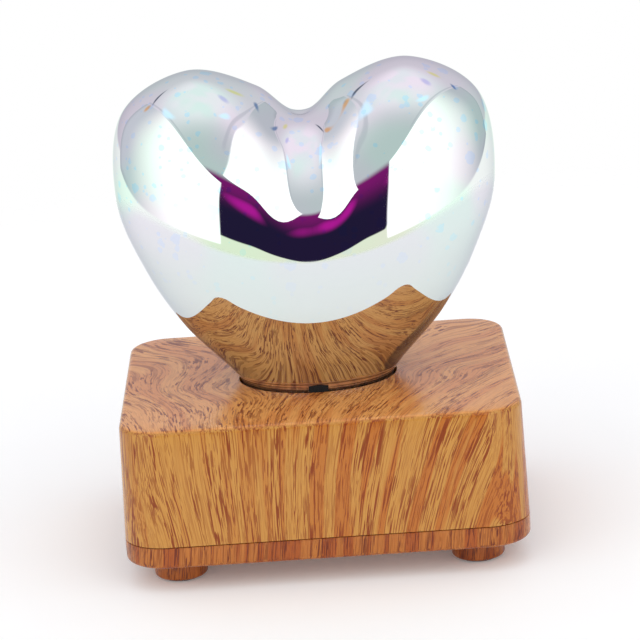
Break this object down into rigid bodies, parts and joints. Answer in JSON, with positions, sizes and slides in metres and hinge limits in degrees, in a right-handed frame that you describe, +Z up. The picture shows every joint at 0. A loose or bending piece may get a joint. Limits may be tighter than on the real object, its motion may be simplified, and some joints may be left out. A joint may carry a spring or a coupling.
{
  "type": "heart mood lamp",
  "caption": "Heart-shaped mirrored glass lamp shade on an oval neck, standing in the top of a rounded box base on short round feet.",
  "frame": {"origin": "on the surface it stands on, under the middle of the base", "axes": "+Z up, -Y towards the front, +X to the right seen from the front"},
  "size_m": [0.13, 0.11, 0.157],
  "materials": {
    "mirrored_glass": "polished",
    "wood_grain_print": "satin",
    "foot_rubber": "matte",
    "black_foam": "matte",
    "screw_steel": "satin",
    "can_aluminium": "satin",
    "green_board": "satin",
    "white_board": "satin",
    "white_plastic": "satin",
    "led_lens": "gloss",
    "black_plastic": "satin",
    "wire_red": "satin",
    "wire_green": "satin",
    "wire_blue": "satin",
    "wire_black": "satin"
  },
  "bodies": {
    "base": {"board_screw_left": "screw_steel", "board_screw_right": "screw_steel", "bottom_cover": "wood_grain_print", "capacitor": "can_aluminium", "case_screw_front_left": "screw_steel", "case_screw_front_right": "screw_steel", "case_screw_rear_left": "screw_steel", "case_screw_rear_right": "screw_steel", "driver_board": "green_board", "driver_chip": "black_plastic", "foot_front_left": "wood_grain_print", "foot_front_right": "wood_grain_print", "foot_pad_front_left": "foot_rubber", "foot_pad_front_right": "foot_rubber", "foot_pad_rear_left": "foot_rubber", "foot_pad_rear_right": "foot_rubber", "foot_rear_left": "wood_grain_print", "foot_rear_right": "wood_grain_print", "glass_seat": "black_plastic", "led_front_left": "led_lens", "led_front_right": "led_lens", "led_plug": "white_plastic", "led_rear_left": "led_lens", "led_rear_right": "led_lens", "led_wire_black": "wire_black", "led_wire_blue": "wire_blue", "led_wire_green": "wire_green", "led_wire_red": "wire_red", "light_board": "white_board", "light_board_screw_left": "screw_steel", "light_board_screw_right": "screw_steel", "power_jack": "black_plastic", "power_jack_pin": "screw_steel", "seat_screw_front_left": "screw_steel", "seat_screw_front_right": "screw_steel", "seat_screw_rear_left": "screw_steel", "seat_screw_rear_right": "screw_steel", "switch_body": "black_plastic", "upper_housing": "wood_grain_print"},
    "glass": {"glass_heart": "mirrored_glass", "neck_pad_front": "black_foam", "neck_pad_rear": "black_foam"},
    "button": {"button_cap": "black_plastic", "switch_plunger": "white_plastic"}
  },
  "joints": [
    {"name": "glass_lift", "type": "slide", "parent": "base", "child": "glass", "axis": [0, 0, 1], "range_m": [0, 0.03]},
    {"name": "mode_button", "type": "slide", "parent": "base", "child": "button", "axis": [0, -1, 0], "range_m": [0, 0.0008], "stiffness_N_per_m": 800}
  ]
}
